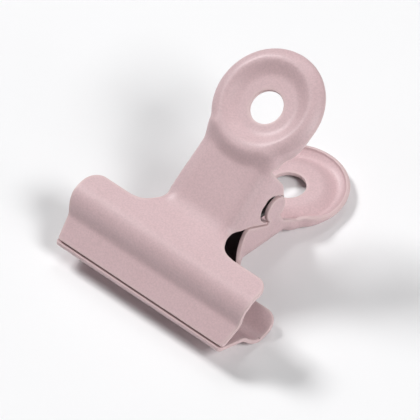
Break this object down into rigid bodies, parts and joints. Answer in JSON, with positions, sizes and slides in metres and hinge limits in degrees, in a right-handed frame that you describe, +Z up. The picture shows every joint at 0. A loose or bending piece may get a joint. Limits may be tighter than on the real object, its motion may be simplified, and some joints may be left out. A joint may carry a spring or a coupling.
{
  "type": "paper clip",
  "caption": "Small spring paper clip of hinged, painted sheet-metal plates with a wide lipped jaw and round, dished handles with hanging holes; squeezing the handles opens the jaw",
  "frame": {"origin": "On the table, under the middle of the part's bounding box", "axes": "X along the jaw, Y back from the lips to the handles, Z up from the table; the part lies on its lower jaw's arch and its lower handle's ring"},
  "size_m": [0.031, 0.038, 0.024],
  "materials": {
    "pink_paint": "satin powder paint on pressed steel sheet",
    "spring_steel": "bare drawn spring wire"
  },
  "bodies": {
    "lower": {"lower_plate": "pink_paint", "torsion_spring": "spring_steel"},
    "upper": {"upper_plate": "pink_paint"}
  },
  "joints": [
    {"name": "jaw_hinge", "type": "hinge", "parent": "lower", "child": "upper", "pos_m": [0, 0.00085, 0.00845], "axis": [-1, 0, 0], "range_deg": [0, 60], "stiffness_Nm_per_rad": 0.046, "deforming": ["torsion_spring"]}
  ]
}
